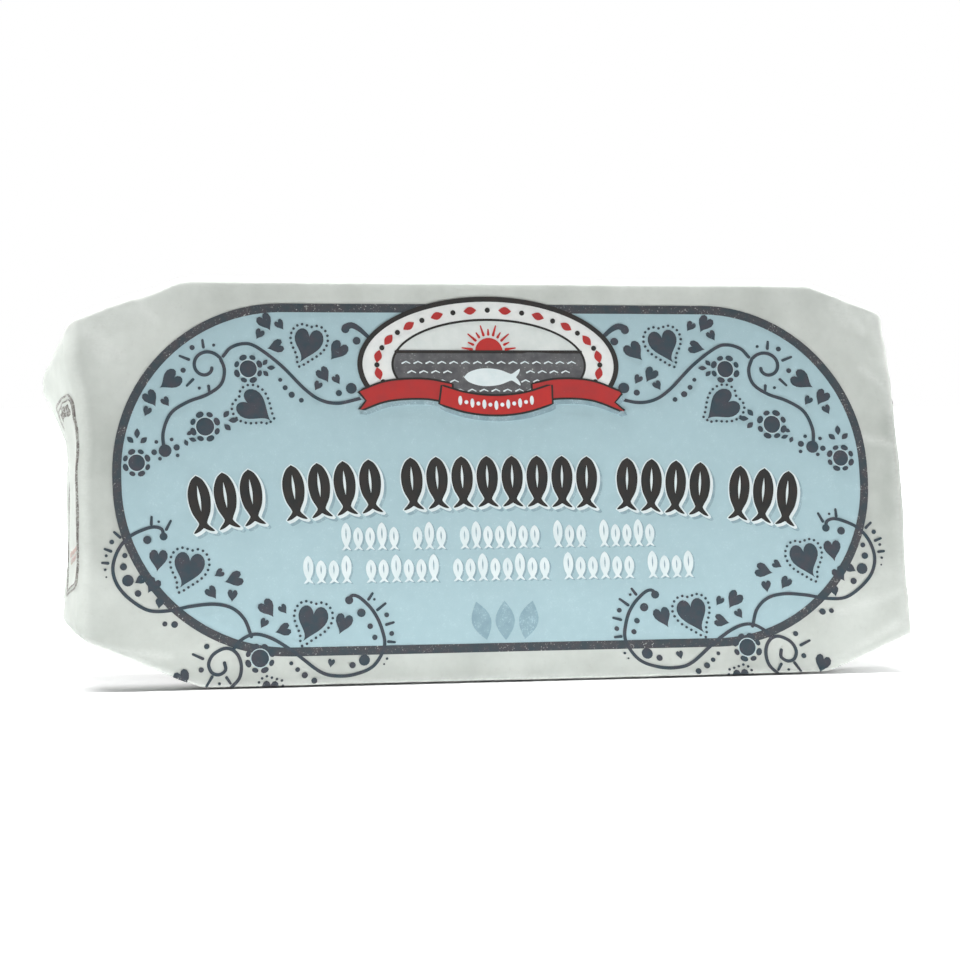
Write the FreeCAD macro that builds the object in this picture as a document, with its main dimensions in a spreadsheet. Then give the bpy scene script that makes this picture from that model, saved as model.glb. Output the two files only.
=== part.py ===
"""Sealed tin of sardine roe, wrapped in one folded sheet of paper, standing on its long side.

The pack is shut, so it is one solid. Its body is modelled upright in its own axes: x along the
length, y from the label face into the depth, z up the label face. The back is lower than the
label face by the taper at top and bottom. The Placement leans the body back until its bottom
side lies flat on z = 0, and centres its box on the origin.
"""
import FreeCAD, Part
import os
import Sketcher
from FreeCAD import Placement, Rotation, Vector

SIZES = {
    # the box that the sheet is folded round
    "face_length": 108.0,
    "face_height": 52.0,
    "depth": 18.5,
    "taper": 3.4,
    # how far each end leans inwards as it rises, in degrees
    "left_slant": 0.5,
    "right_slant": 1.6,
    # corner cuts of the label face: run along the length, rise up the height
    "upper_left_run": 13.0,
    "upper_left_rise": 5.1,
    "upper_right_run": 11.0,
    "upper_right_rise": 4.9,
    "lower_left_run": 14.8,
    "lower_left_rise": 6.6,
    "lower_right_run": 12.0,
    "lower_right_rise": 5.2,
    # how round the sheet is folded
    "upper_left_round": 3.5,
    "upper_right_round": 1.8,
    "lower_left_round": 3.0,
    "lower_right_round": 1.5,
    "front_fold": 1.0,
    "back_fold": 1.0,
    # dog-ears of the end folds: how far out, how far from their corner, how long at the root
    "upper_left_ear": 3.2,
    "upper_right_ear": 1.6,
    "lower_left_ear": 0.9,
    "lower_right_ear": 0.8,
    "upper_ear_place": 6.1,
    "upper_ear_root": 14.0,
    "lower_ear_place": 3.9,
    "lower_ear_root": 8.0,
    "ear_depth": 15.5,
    "ear_tip": 0.5,
    # laps of the sheet: the closing flap on each end and the seam along the back
    "lap": 0.25,
    "flap_margin": 1.2,
    "flap_taper": 4.0,
    "flap_cover": 15.0,
    "seam_height": 27.0,
    "seam_width": 12.0,
    # how deep an added piece of paper starts inside the body
    "bite": 1.0,
}
CORNERS = ("upper_left", "upper_right", "lower_left", "lower_right")
TOUCH = 1e-6  # two points nearer than this are one corner
ROUGH = 10.0  # an outline starts as a ring of this radius, before its formulas place it

doc = FreeCAD.newDocument("SardineRoeTin")
sizes = doc.addObject("Spreadsheet::Sheet", "Sizes")
for row, (alias, number) in enumerate(SIZES.items(), start=1):
    sizes.set(f"A{row}", alias)
    sizes.set(f"B{row}", str(number))
    sizes.setAlias(f"B{row}", alias)
doc.recompute()

body = doc.addObject("PartDesign::Body", "WrappedTin")
body.Label = "wrapped_tin"


def size(alias):
    """The sheet's present value of one size."""
    return float(sizes.get(alias))


def origin_plane(role):
    """One of the body's own origin planes."""
    return next(f for f in body.Origin.OriginFeatures if f.Role == role)


def new_sketch(name, plane_role):
    """A sketch on one of the body's own origin planes."""
    sketch = body.newObject("Sketcher::SketchObject", name)
    sketch.AttachmentSupport = (origin_plane(plane_role), [""])
    sketch.MapMode = "FlatFace"
    return sketch


def polygon(sketch, corners):
    """A closed outline whose corners sit where pairs of formulas say."""
    count = len(corners)
    start = [Rotation(Vector(0, 0, 1), 360.0 * i / count).multVec(Vector(ROUGH, 0, 0))
             for i in range(count)]
    for i in range(count):
        sketch.addGeometry(Part.LineSegment(start[i], start[(i + 1) % count]), False)
    for i in range(count):
        sketch.addConstraint(Sketcher.Constraint("Coincident", i, 2, (i + 1) % count, 1))
    for i, (across, up) in enumerate(corners):
        for kind, formula in (("DistanceX", across), ("DistanceY", up)):
            index = sketch.addConstraint(Sketcher.Constraint(kind, -1, 1, i, 1, 1.0))
            sketch.setExpression(f"Constraints[{index}]", formula)


def end_x(side, height):
    """How far along the length an end stands at a height, as a formula."""
    sign = "-" if side == "left" else ""
    return f"{sign}(Sizes.face_length / 2 - tan(Sizes.{side}_slant * 1 deg) * ({height}))"


def make_block():
    """The block that the sheet is folded round, from its side profile along the length."""
    profile = new_sketch("SideProfile", "YZ_Plane")
    polygon(profile, [("0", "0"), ("0", "Sizes.face_height"),
                      ("Sizes.depth", "Sizes.face_height - Sizes.taper"),
                      ("Sizes.depth", "Sizes.taper")])
    block = body.newObject("PartDesign::Pad", "Block")
    block.Profile = profile
    block.Midplane = True
    block.setExpression("Length", "Sizes.face_length")
    doc.recompute()


def cut_away(name, corners, slope="0"):
    """Cut an outline of the label plane off the block, right through, along a slope."""
    outline = new_sketch(f"{name}_outline", "XZ_Plane")
    polygon(outline, corners)
    cut = body.newObject("PartDesign::Pocket", name)
    cut.Profile = outline
    cut.Type = "ThroughAll"
    cut.UseCustomVector = True
    cut.Direction = Vector(0, 1, 0)
    cut.setExpression("Direction.z", slope)
    doc.recompute()
    return cut


def slant_end(side):
    """Cut an end so that it leans inwards as it rises."""
    outer = f"{'-' if side == 'left' else ''}(Sizes.face_length / 2 + Sizes.bite)"
    cut_away(f"End_{side}", [(end_x(side, "0"), "0"),
                             (end_x(side, "Sizes.face_height"), "Sizes.face_height"),
                             (outer, "Sizes.face_height"), (outer, "0")])


def cut_corner(corner):
    """Cut one corner of the label outline, along the slope of its long side."""
    level, side = corner.split("_")
    outward, inward = ("-", "+") if side == "left" else ("+", "-")
    away, back = ("+", "-") if level == "upper" else ("-", "+")
    rise, run = f"Sizes.{corner}_rise", f"Sizes.{corner}_run"
    turn = f"(Sizes.face_height - {rise})" if level == "upper" else rise
    past_end = (f"{end_x(side, turn)} {outward} {run} / 2", f"{turn} {back} {rise} / 2")
    past_side = (f"{end_x(side, turn)} {inward} {run} * 3 / 2", f"{turn} {away} {rise} * 3 / 2")
    slope = f"{'-' if level == 'upper' else ''}Sizes.taper / Sizes.depth"
    return cut_away(f"Corner_{corner}",
                    [past_end, past_side, (past_end[0], past_side[1])], slope)


def end_corner(shape, corner):
    """The vertex of the label face where an end meets that corner's cut."""
    level, side = corner.split("_")
    reach = -1 if side == "left" else 1
    lift = size(f"{corner}_rise")
    height = size("face_height") - lift if level == "upper" else lift
    target = Vector(reach * size("face_length") / 2, 0, height)
    return min(shape.Vertexes, key=lambda v: v.Point.distanceToPoint(target))


def round_ends(base):
    """Round the folds that run into the depth at the four ends of the long sides."""
    for corner in CORNERS:
        vertex = end_corner(base.Shape, corner).Point
        edge = next(i for i, e in enumerate(base.Shape.Edges, start=1)
                    if any(v.Point.isEqual(vertex, TOUCH) for v in e.Vertexes)
                    and any(v.Point.y > size("depth") / 2 for v in e.Vertexes))
        fold = body.newObject("PartDesign::Fillet", f"Round_{corner}")
        fold.Base = (base, [f"Edge{edge}"])
        fold.setExpression("Radius", f"Sizes.{corner}_round")
        doc.recompute()
        base = fold
    return base


def round_loop(base, name, depth, radius):
    """Round every fold of the outline that lies at one depth."""
    loop = [f"Edge{i}" for i, e in enumerate(base.Shape.Edges, start=1)
            if all(abs(v.Point.y - depth) < TOUCH for v in e.Vertexes)]
    fold = body.newObject("PartDesign::Fillet", name)
    fold.Base = (base, loop)
    fold.setExpression("Radius", radius)
    doc.recompute()
    return fold


def end_sketch(name, side, out):
    """A sketch parallel to an end, so far out of it: x into the depth, y up from its foot."""
    left = side == "left"
    foot = f"Sizes.lower_{side}_rise"
    sketch = new_sketch(name, "YZ_Plane")
    sketch.AttachmentOffset = Placement(Vector(0, 0, 0), Rotation(Vector(1, 0, 0), 1.0))
    sketch.setExpression("AttachmentOffset.Base.y", foot)
    sketch.setExpression("AttachmentOffset.Base.z",
                         f"{end_x(side, foot)} {'-' if left else '+'} ({out})")
    sketch.setExpression("AttachmentOffset.Rotation.Angle",
                         f"{'' if left else '-'}Sizes.{side}_slant * 1 deg")
    return sketch


def end_height(side):
    """The length of an end's front edge, from foot to top, as a formula."""
    rises = f"Sizes.upper_{side}_rise - Sizes.lower_{side}_rise"
    return f"((Sizes.face_height - {rises}) / cos(Sizes.{side}_slant * 1 deg))"


def add_ear(corner):
    """The dog-ear beside one corner: a low pyramid on the end, with a blunt tip."""
    level, side = corner.split("_")

    def along(distance):
        """A point that far from the ear's corner, along the end."""
        return f"({end_height(side)} - ({distance}))" if level == "upper" else f"({distance})"

    near, far = "Sizes.front_fold", "(Sizes.depth - Sizes.back_fold)"
    foot = end_sketch(f"EarFoot_{corner}", side, "-Sizes.bite")
    polygon(foot, [(near, along("0")), (near, along(f"Sizes.{level}_ear_root")),
                   (far, along(f"Sizes.{level}_ear_root")), (far, along("Sizes.taper"))])
    tip = end_sketch(f"EarTip_{corner}", side, f"Sizes.{corner}_ear")
    front, back = "(Sizes.ear_depth - Sizes.ear_tip)", "Sizes.ear_depth"
    high = along(f"Sizes.{level}_ear_place")
    low = along(f"Sizes.{level}_ear_place + Sizes.ear_tip")
    polygon(tip, [(front, high), (front, low), (back, low), (back, high)])
    doc.recompute()
    ear = body.newObject("PartDesign::AdditiveLoft", f"Ear_{corner}")
    ear.Profile = foot
    ear.Sections = [tip]
    ear.Ruled = True
    doc.recompute()


def add_flap(side):
    """The closing flap: a trapezium of paper folded from the back over the end."""
    near, far = "(Sizes.depth - Sizes.flap_cover)", "(Sizes.depth - Sizes.back_fold)"
    low = "(Sizes.taper + Sizes.flap_margin)"
    high = f"({end_height(side)} - {low})"
    outline = end_sketch(f"FlapOutline_{side}", side, "-Sizes.bite")
    polygon(outline, [(far, low), (far, high), (near, f"{high} - Sizes.flap_taper"),
                      (near, f"{low} + Sizes.flap_taper")])
    flap = body.newObject("PartDesign::Pad", f"Flap_{side}")
    flap.Profile = outline
    flap.Reversed = side == "left"
    flap.setExpression("Length", "Sizes.bite + Sizes.lap")
    doc.recompute()


def add_seam():
    """The edge of the sheet, lapped along the back."""
    low = "(Sizes.seam_height - Sizes.seam_width / 2)"
    high = "(Sizes.seam_height + Sizes.seam_width / 2)"
    margin = "(Sizes.back_fold + Sizes.flap_margin)"
    left = f"{end_x('left', high)} + {margin}"
    right = f"{end_x('right', high)} - {margin}"
    outline = new_sketch("SeamOutline", "XZ_Plane")
    outline.setExpression("AttachmentOffset.Base.z", "-Sizes.depth + Sizes.bite")
    polygon(outline, [(left, low), (left, high), (right, high), (right, low)])
    seam = body.newObject("PartDesign::Pad", "Seam")
    seam.Profile = outline
    seam.Reversed = True
    seam.setExpression("Length", "Sizes.bite + Sizes.lap")
    doc.recompute()


def stand():
    """Lean the body on to its bottom side and centre its box over the origin."""
    body.Placement = Placement(Vector(0, 0, 0), Rotation(Vector(1, 0, 0), -1.0))
    body.setExpression("Placement.Rotation.Angle", "-atan(Sizes.taper / Sizes.depth)")
    doc.recompute()
    box = body.Shape.optimalBoundingBox(False)
    body.Placement.Base = Vector(-box.Center.x, -box.Center.y, 0)
    doc.recompute()


make_block()
for side in ("left", "right"):
    slant_end(side)
for corner in CORNERS:
    folded = cut_corner(corner)
rounded = round_ends(folded)
rounded = round_loop(rounded, "FrontFolds", 0.0, "Sizes.front_fold")
rounded = round_loop(rounded, "BackFolds", size("depth"), "Sizes.back_fold")
for corner in CORNERS:
    add_ear(corner)
for side in ("left", "right"):
    add_flap(side)
add_seam()
stand()

for item in doc.Objects:
    if {"Invalid", "Error"} & set(item.State):
        raise RuntimeError(f"{item.Name} did not build: {item.State}")
if body.Shape.isNull() or not body.Shape.isValid() or len(body.Shape.Solids) != 1:
    raise RuntimeError("the wrapped tin is not one valid solid")

os.makedirs("parts", exist_ok=True)
body.Shape.exportStep(f"parts/{body.Label}.step")
print("volume", round(body.Shape.Volume, 1), "box", body.Shape.optimalBoundingBox(False))
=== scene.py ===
"""Tin of sardine roe in its printed paper wrapper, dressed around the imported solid.

The pack is drawn in its own axes, in millimetres: x along the length from the middle of the label,
v up the label face from the bottom fold, n into the depth behind the label. stand() leans it back
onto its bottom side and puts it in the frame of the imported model, in metres.
"""
from math import atan, cos, pi, radians, sin, tan

import bmesh
import bpy
import numpy as np
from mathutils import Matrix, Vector, geometry, noise
from mathutils.bvhtree import BVHTree


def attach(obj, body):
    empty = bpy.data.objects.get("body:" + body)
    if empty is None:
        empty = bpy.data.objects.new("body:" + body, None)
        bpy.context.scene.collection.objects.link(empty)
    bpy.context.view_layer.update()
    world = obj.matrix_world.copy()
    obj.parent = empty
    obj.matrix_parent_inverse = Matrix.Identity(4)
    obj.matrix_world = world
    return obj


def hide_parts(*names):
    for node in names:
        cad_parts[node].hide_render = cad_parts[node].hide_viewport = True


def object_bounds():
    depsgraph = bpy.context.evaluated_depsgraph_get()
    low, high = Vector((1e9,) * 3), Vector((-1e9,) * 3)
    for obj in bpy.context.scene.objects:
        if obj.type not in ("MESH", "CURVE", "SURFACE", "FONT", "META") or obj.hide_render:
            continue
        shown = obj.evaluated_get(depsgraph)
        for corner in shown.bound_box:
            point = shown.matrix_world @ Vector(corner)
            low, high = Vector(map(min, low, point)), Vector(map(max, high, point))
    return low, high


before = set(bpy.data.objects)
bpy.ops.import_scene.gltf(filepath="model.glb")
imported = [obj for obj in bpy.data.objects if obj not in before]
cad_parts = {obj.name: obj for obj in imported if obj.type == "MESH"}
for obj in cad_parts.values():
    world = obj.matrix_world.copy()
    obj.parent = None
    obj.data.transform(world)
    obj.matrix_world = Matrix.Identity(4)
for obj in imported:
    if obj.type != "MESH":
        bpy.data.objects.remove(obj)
cad_low, cad_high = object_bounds()

MM = 0.001

# the folded box
FACE_HEIGHT = 52.0
DEPTH = 18.5
TAPER = 3.4
LEAN = atan(TAPER / DEPTH)
HALF_LENGTH = 54.0
TOP_FOLD, BOTTOM_FOLD, BACK_FOLD = 1.0, 0.5, 1.2
CUT_BLEND = 0.5

# each end: slant inwards, corner cuts (run, rise), how round its folds are, its dog-ears
LEFT = dict(side=-1, slant=0.5, top_cut=(13.0, 5.1), bottom_cut=(14.8, 6.2), top_round=3.2,
            bottom_round=3.0, ridge=1.7, dent=(0.4, 43.8, 5.0),
            ears=((2.1, 40.8, 47.4, 33.4), (0.8, 10.9, 15.5, 6.2)))
RIGHT = dict(side=1, slant=1.6, top_cut=(12.0, 4.5), bottom_cut=(12.0, 4.9), top_round=1.4,
             bottom_round=0.9, ridge=0.9, dent=(0.0, 43.8, 5.0),
             ears=((1.6, 40.8, 47.4, 33.4), (0.8, 9.1, 13.4, 5.2)))
EAR_DEPTH = 15.5

# how finely the sheet is divided
FACE_STEPS, SIDE_STEPS, FOLD_STEPS = 94, 26, 8
LENGTH_STEPS, RIM_STEPS, CAP_STEPS = 196, 7, 14

# ink lies on the paper in layers, each a little higher than the last
INK_STEP = 0.02
# how deep ink and laps are sunk into the paper, and how thick a lap is
INK_ROOT, LAP_ROOT, LAP_THICK, TUCK_THICK = 0.06, 0.3, 0.14, 0.08
# the angle in degrees from which an edge stays sharp
SHARP_PAPER, SHARP_LAP, SHARP_INK = 60.0, 40.0, 50.0
# how far above the paper a flat spot starts its way down to it, and how far it looks
DROP_FROM, DROP_REACH = 3.0, 8.0


def smooth(t):
    """0 before 0, 1 after 1 and an easy slope between."""
    t = np.clip(t, 0.0, 1.0)
    return t * t * (3.0 - 2.0 * t)


def bump(value, middle, reach):
    """A soft hump round a middle value."""
    return 1.0 - smooth(np.abs(value - middle) / reach)


def soft_ramp(t, blend):
    """0 before 0 and t after it, with the corner blended."""
    return 0.5 * (t + np.sqrt(t * t + blend * blend))


# ------------ where the pack stands

SOLID_EAR_OUT, SOLID_EAR_TIP = 3.2, 40.8
ear_reach = HALF_LENGTH - tan(radians(LEFT["slant"])) * SOLID_EAR_TIP + SOLID_EAR_OUT
FRONT_ROOM = 1.0 / tan((pi / 2 - LEAN) / 2) - 1.0
SHIFT_X = cad_low.x / MM + ear_reach
SHIFT_Y = cad_low.y / MM - FRONT_ROOM


def stand(points):
    """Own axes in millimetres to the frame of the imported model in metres."""
    points = np.asarray(points, float).reshape(-1, 3)
    x, v, n = points.T
    return np.column_stack((x + SHIFT_X, n * cos(LEAN) + v * sin(LEAN) + SHIFT_Y,
                            v * cos(LEAN) - n * sin(LEAN))) * MM


# ------------ the wrapper's shape

def end_reach(end, v):
    """How far out an end stands at a height, with the swell of its folded paper."""
    reach = HALF_LENGTH - tan(radians(end["slant"])) * v
    if end is LEFT:
        swell = 1.2 * smooth((v - 35.4) / 6.5) - 0.35 * bump(v, 30.9, 5.5)
        return reach + swell - 0.22 * bump(v, 19.0, 10.0)
    return reach + 0.42 * bump(v, 27.0, 17.0) - 0.35 * smooth((v - 41.0) / 5.0)


def cut_height(end, x, which):
    """How much a corner cut takes off the height at a place along the length."""
    run, rise = end[which]
    cut = soft_ramp(np.abs(x) - (HALF_LENGTH - run), CUT_BLEND) * rise / run
    if which == "top_cut":
        depth, middle, reach = end["dent"]
        cut = cut + depth * bump(np.abs(x), middle, reach)
    return cut


def face_span(end, x):
    """The lowest and the highest v of the label face at a place along the length."""
    return cut_height(end, x, "bottom_cut"), FACE_HEIGHT - cut_height(end, x, "top_cut")


def cut_slope(end, which):
    """How steeply a corner cut runs."""
    run, rise = end[which]
    return atan(rise / run)


def ear(end, v, n):
    """How far the dog-ears push an end out at a place on it."""
    total = 0.0
    for out, tip, high, low in end["ears"]:
        faces = [(high - v) / (high - tip), (v - low) / (tip - low),
                 (n - 0.4) / (EAR_DEPTH - 0.4), (DEPTH + 0.3 - n) / (DEPTH + 0.3 - EAR_DEPTH)]
        softness = 0.06
        least = -softness * np.log(sum(np.exp(-np.clip(f, -1, 3) / softness) for f in faces))
        total = total + out * np.clip(least + softness * 0.7, 0.0, None)
    return total


def loop_plan():
    """The section as steps: each is (corner, normal angle, next corner, its angle, how far on)."""
    level = pi / 2 + LEAN
    corners = (("bottom", "front", 2 * pi - level, 2 * pi), ("top", "front", 0.0, level),
               ("top", "back", level, pi), ("bottom", "back", pi, 2 * pi - level))
    plan = []
    for index, (_, _, first, last) in enumerate(corners):
        for k in range(FOLD_STEPS):
            turn = first + (last - first) * k / FOLD_STEPS
            plan.append((index, turn, index, turn, 0.0))
        following = (index + 1) % 4
        steps = FACE_STEPS if index % 2 == 0 else SIDE_STEPS
        for k in range(steps):
            plan.append((index, last, following, corners[following][2], k / steps))
    return corners, plan


CORNERS, PLAN = loop_plan()
FOLDS = dict(bottom_front=BOTTOM_FOLD, top_front=TOP_FOLD, top_back=BACK_FOLD,
             bottom_back=BACK_FOLD)


def loop_points(low, high, inset, shrink=0.0):
    """(v, n) round the section, for heights and insets that may differ from step to step."""
    v, n = np.zeros(low.shape), np.zeros(low.shape)
    for j, (first, first_turn, last, last_turn, along) in enumerate(PLAN):
        spot = []
        for corner, turn in ((first, first_turn), (last, last_turn)):
            level, face, _, _ = CORNERS[corner]
            r = max(FOLDS[f"{level}_{face}"] - shrink, 0.25)
            cn = inset[face] + r if face == "front" else DEPTH - inset[face] - r
            drop = cn * tan(LEAN) + (inset[level] + r) / cos(LEAN)
            cv = high[..., j] - drop if level == "top" else low[..., j] + drop
            spot.append((cv + r * sin(turn), cn - r * cos(turn)))
        v[..., j] = spot[0][0] * (1 - along) + spot[1][0] * along
        n[..., j] = spot[0][1] * (1 - along) + spot[1][1] * along
    return v, n


def rim_shape(end):
    """For each step of the section: how round the end's rim is there, and its first angle."""
    round_by = dict(front=(end["ridge"], 0.0), back=(1.2, 0.0),
                    top=(end["top_round"], cut_slope(end, "top_cut")),
                    bottom=(end["bottom_round"], cut_slope(end, "bottom_cut")))
    sides = (("bottom", "front"), ("front", "top"), ("top", "back"), ("back", "bottom"))
    rounds, slopes = [], []
    for j, (first, turn, last, _, along) in enumerate(PLAN):
        before, after = sides[first]
        level = CORNERS[first]
        blend = 1.0 if first != last else smooth((turn - level[2]) / (level[3] - level[2]))
        start, finish = round_by[before], round_by[after]
        rounds.append(start[0] + (finish[0] - start[0]) * blend)
        slopes.append(start[1] + (finish[1] - start[1]) * blend)
    return np.array(rounds), np.array(slopes), round_by


NO_INSET = dict(front=0.0, back=0.0, top=0.0, bottom=0.0)


def end_rim(end, low, high, rims):
    """Loops round the folded rim of an end."""
    rounds, slopes, round_by = rims
    loops = []
    for k in range(1, RIM_STEPS + 1):
        turn = slopes + (pi / 2 - slopes) * k / RIM_STEPS
        inset = {}
        for name, (r, slope) in round_by.items():
            at = slope + (pi / 2 - slope) * k / RIM_STEPS
            tilt = cos(LEAN) if name in ("top", "bottom") else 1
            inset[name] = r * (cos(slope) - cos(at)) * tilt
        v, n = loop_points(low, high, inset, shrink=max(inset.values()) * 0.6)
        x = end_reach(end, v) - rounds * (1 - np.sin(turn))
        x = x + ear(end, v, n) * smooth(k / RIM_STEPS)
        loops.append(np.column_stack((end["side"] * x[0], v[0], n[0])))
    return loops


def end_cap(end, edge):
    """Loops that close an end, from the edge of its rim to its middle line."""
    bottom, top = edge[:, 1].min() + DEPTH / 2, edge[:, 1].max() - DEPTH / 2
    place = np.array([(0.0, along, 1.0, 1.0 - along)[first] if first != last else
                      (0.0, 1.0, 1.0, 0.0)[first] for first, _, last, _, along in PLAN])
    middle_v = bottom + (top - bottom) * place
    loops = []
    for k in range(1, CAP_STEPS + 1):
        part = k / CAP_STEPS
        v = edge[:, 1] * (1 - part) + middle_v * part
        n = edge[:, 2] * (1 - part) + DEPTH / 2 * part
        x = end_reach(end, v) + ear(end, v, n)
        loops.append(np.column_stack((end["side"] * x, v, n)))
    return loops


def sheet_loops():
    """All the section loops from the middle of the left end to the middle of the right end."""
    flat = np.zeros((1, len(PLAN)))
    loops = []
    for end in (LEFT, RIGHT):
        rims = rounds, slopes, _ = rim_shape(end)
        part = np.linspace(0.0, 1.0, LENGTH_STEPS // 2 + 1)[:, None]
        if end is RIGHT:
            part = part[1:]
        v, n = loop_points(flat, flat + FACE_HEIGHT, NO_INSET)
        for _ in range(3):
            x = part * (end_reach(end, v) - rounds * (1 - np.sin(slopes)))
            low, high = face_span(end, x)
            v, n = loop_points(low, high, NO_INSET)
        length = [np.column_stack((end["side"] * x[i], v[i], n[i])) for i in range(len(part))]
        rim = end_rim(end, low[-1:], high[-1:], rims)
        whole = length + rim + end_cap(end, rim[-1])
        loops = whole[::-1] if end is LEFT else loops + whole
    return np.array(loops)


# where the paper shows a crease of its own: two ends on the label, height, width
CREASES = (
    (46.0, 49.6, 49.4, 45.2, 0.16, 0.45), (45.2, 48.6, 47.0, 46.2, 0.10, 0.35),
    (50.6, 47.0, 52.6, 41.0, -0.10, 0.60), (49.0, 40.0, 53.0, 36.8, 0.07, 0.60),
    (48.5, 31.0, 53.2, 29.8, -0.05, 0.60), (-47.0, 49.5, -44.0, 46.0, 0.09, 0.50),
    (-52.5, 44.5, -48.0, 41.5, 0.07, 0.80), (-50.5, 5.0, -43.0, 4.2, 0.06, 0.70),
    (42.0, 1.0, 52.0, 6.5, 0.07, 0.80), (44.0, 8.0, 52.5, 10.5, -0.05, 0.80),
    (52.6, 34.4, 53.6, 35.8, 0.10, 0.40), (-51.4, 42.4, -50.0, 41.2, 0.10, 0.40),
)


def distance_to(x, v, crease):
    """How far a place on the label is from a crease, in millimetres."""
    x1, v1, x2, v2 = crease[:4]
    along = ((x - x1) * (x2 - x1) + (v - v1) * (v2 - v1)) / ((x2 - x1) ** 2 + (v2 - v1) ** 2)
    along = min(max(along, 0.0), 1.0)
    return ((x - x1 - along * (x2 - x1)) ** 2 + (v - v1 - along * (v2 - v1)) ** 2) ** 0.5


def crumple(spot, size):
    """Sharp little ridges, as in handled paper: 0 between them and 1 on their crests."""
    return max(0.0, 1.0 - 4.0 * abs(noise.noise(spot / size)))


def relief(spot, out):
    """How far the paper stands from its smooth shape, in millimetres."""
    x, v, n = spot
    label = max(0.0, -out.z)
    floor_side = max(0.0, -out.y) ** 4
    near_end = smooth((abs(x) - 38.0) / 14.0)
    handled = 0.10 + 0.55 * near_end * label + 0.9 * (1.0 - label)
    height = sum(tall * noise.noise(spot / size) for tall, size in SWELLS)
    height += TOP_SWELL * label * smooth((v - 45.5) / 5.0)
    height += handled * sum(tall * crumple(spot + Vector(shift), size)
                            for tall, shift, size in CRUMPLES)
    if label > 0.5:
        for crease in CREASES:
            away, tall, wide = distance_to(x, v, crease), *crease[4:]
            if away < 3.0 * wide:
                height += tall * CREASE_FALL ** (-(away / wide) ** 2) * label
    fold_gap = 1.0 - smooth((n - FLOOR_TOUCH) / 2.5)
    return height * (1.0 - floor_side) - FLOOR_GAP * floor_side * fold_gap


# broad waves of the paper (height, size) and its small ridges (height, shift, size)
SWELLS = ((0.16, 26.0), (0.05, 9.0))
CRUMPLES = ((0.10, (7, 3, 1), 7.0), (0.05, (1, 9, 4), 3.2), (-0.05, (5, 2, 8), 5.0))
TOP_SWELL, CREASE_FALL = 0.14, 2.718
# the front fold hangs a little above the floor, which the paper meets from this depth on
FLOOR_GAP, FLOOR_TOUCH = 0.27, 2.0


def make_wrapper():
    """The folded sheet as one closed mesh in its own axes."""
    loops = sheet_loops()
    count, steps = loops.shape[:2]
    mesh = bmesh.new()
    corners = [mesh.verts.new(p) for p in loops.reshape(-1, 3)]
    for i in range(count - 1):
        for j in range(steps):
            k = (j + 1) % steps
            mesh.faces.new((corners[i * steps + j], corners[i * steps + k],
                            corners[(i + 1) * steps + k], corners[(i + 1) * steps + j]))
    bmesh.ops.remove_doubles(mesh, verts=mesh.verts, dist=1e-4)
    bmesh.ops.dissolve_degenerate(mesh, dist=1e-5, edges=mesh.edges)
    bmesh.ops.recalc_face_normals(mesh, faces=mesh.faces)
    mesh.normal_update()
    moves = [(p, p.co + p.normal * relief(p.co, p.normal)) for p in mesh.verts]
    for p, place in moves:
        p.co = place
    mesh.normal_update()
    return mesh


# ------------ pieces from outlines

def put(name, data):
    """An object in the scene that shows a mesh, lamp or camera."""
    made = bpy.data.objects.new(name, data)
    bpy.context.scene.collection.objects.link(made)
    return made


def new_piece(name, points, faces, material, sharp_from):
    """An object that stands on the floor, rides with the pack and has the given material."""
    mesh = bpy.data.meshes.new(name)
    mesh.from_pydata([tuple(p) for p in stand(points)], [], faces)
    shell = bmesh.new()
    shell.from_mesh(mesh)
    bmesh.ops.recalc_face_normals(shell, faces=shell.faces)
    shell.to_mesh(mesh)
    shell.free()
    mesh.validate()
    mesh.shade_smooth()
    mesh.set_sharp_from_angle(angle=radians(sharp_from))
    mesh.materials.append(material)
    piece = put(name, mesh)
    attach(piece, "root")
    return piece


def slab(tops, outs, triangles, height, root):
    """A thin closed sheet on the paper: its points raised by height and sunk by root."""
    count = len(tops)
    points = np.vstack((tops + outs * height, tops - outs * root))
    faces = [tuple(t) for t in triangles]
    faces += [tuple(i + count for i in reversed(t)) for t in triangles]
    edges = dict.fromkeys((a, b) for t in triangles for a, b in zip(t, t[1:] + t[:1]))
    for a, b in edges:
        if (b, a) not in edges:
            faces.append((b, a, a + count, b + count))
    return points, faces


# how far the print is laid above the bottom fold
PRINT_RISE = 0.4


def on_label(x, s):
    """The place and outward direction of a spot of the printed sheet, s up the print."""
    s = s + PRINT_RISE
    end = LEFT if x < 0 else RIGHT
    low, high = face_span(end, x)
    whole = pi / 2 + LEAN
    for edge, fold, way in ((low, BOTTOM_FOLD, 1), (high, TOP_FOLD, -1)):
        bend = edge + way * fold * tan(whole / 2)
        past = (bend - s) * way
        if past > 0:
            turn = min(past / fold, whole)
            out = Vector((0.0, -way * sin(turn), -cos(turn)))
            spot = Vector((x, bend, fold)) + out * fold
            rest = past - fold * whole
            if rest > 0:
                spot += Vector((0.0, way * sin(LEAN), cos(LEAN))) * rest
            return spot, out
    return Vector((x, s, 0.0)), Vector((0.0, 0.0, -1.0))


def on_back(x, s):
    """The same for a spot on the back, x to the right as the back is faced."""
    return Vector((-x, s, DEPTH)), Vector((0.0, 0.0, 1.0))


def on_end(end):
    """The same for a spot on an end: across is the depth, up is v."""
    side = end["side"]

    def place(across, s):
        """Where a spot of this end lies."""
        n = -across if side < 0 else across
        reach = end_reach(end, s) + ear(end, s, n)
        return Vector((side * reach, s, n)), Vector((side, 0.0, 0.0))
    return place


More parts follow.
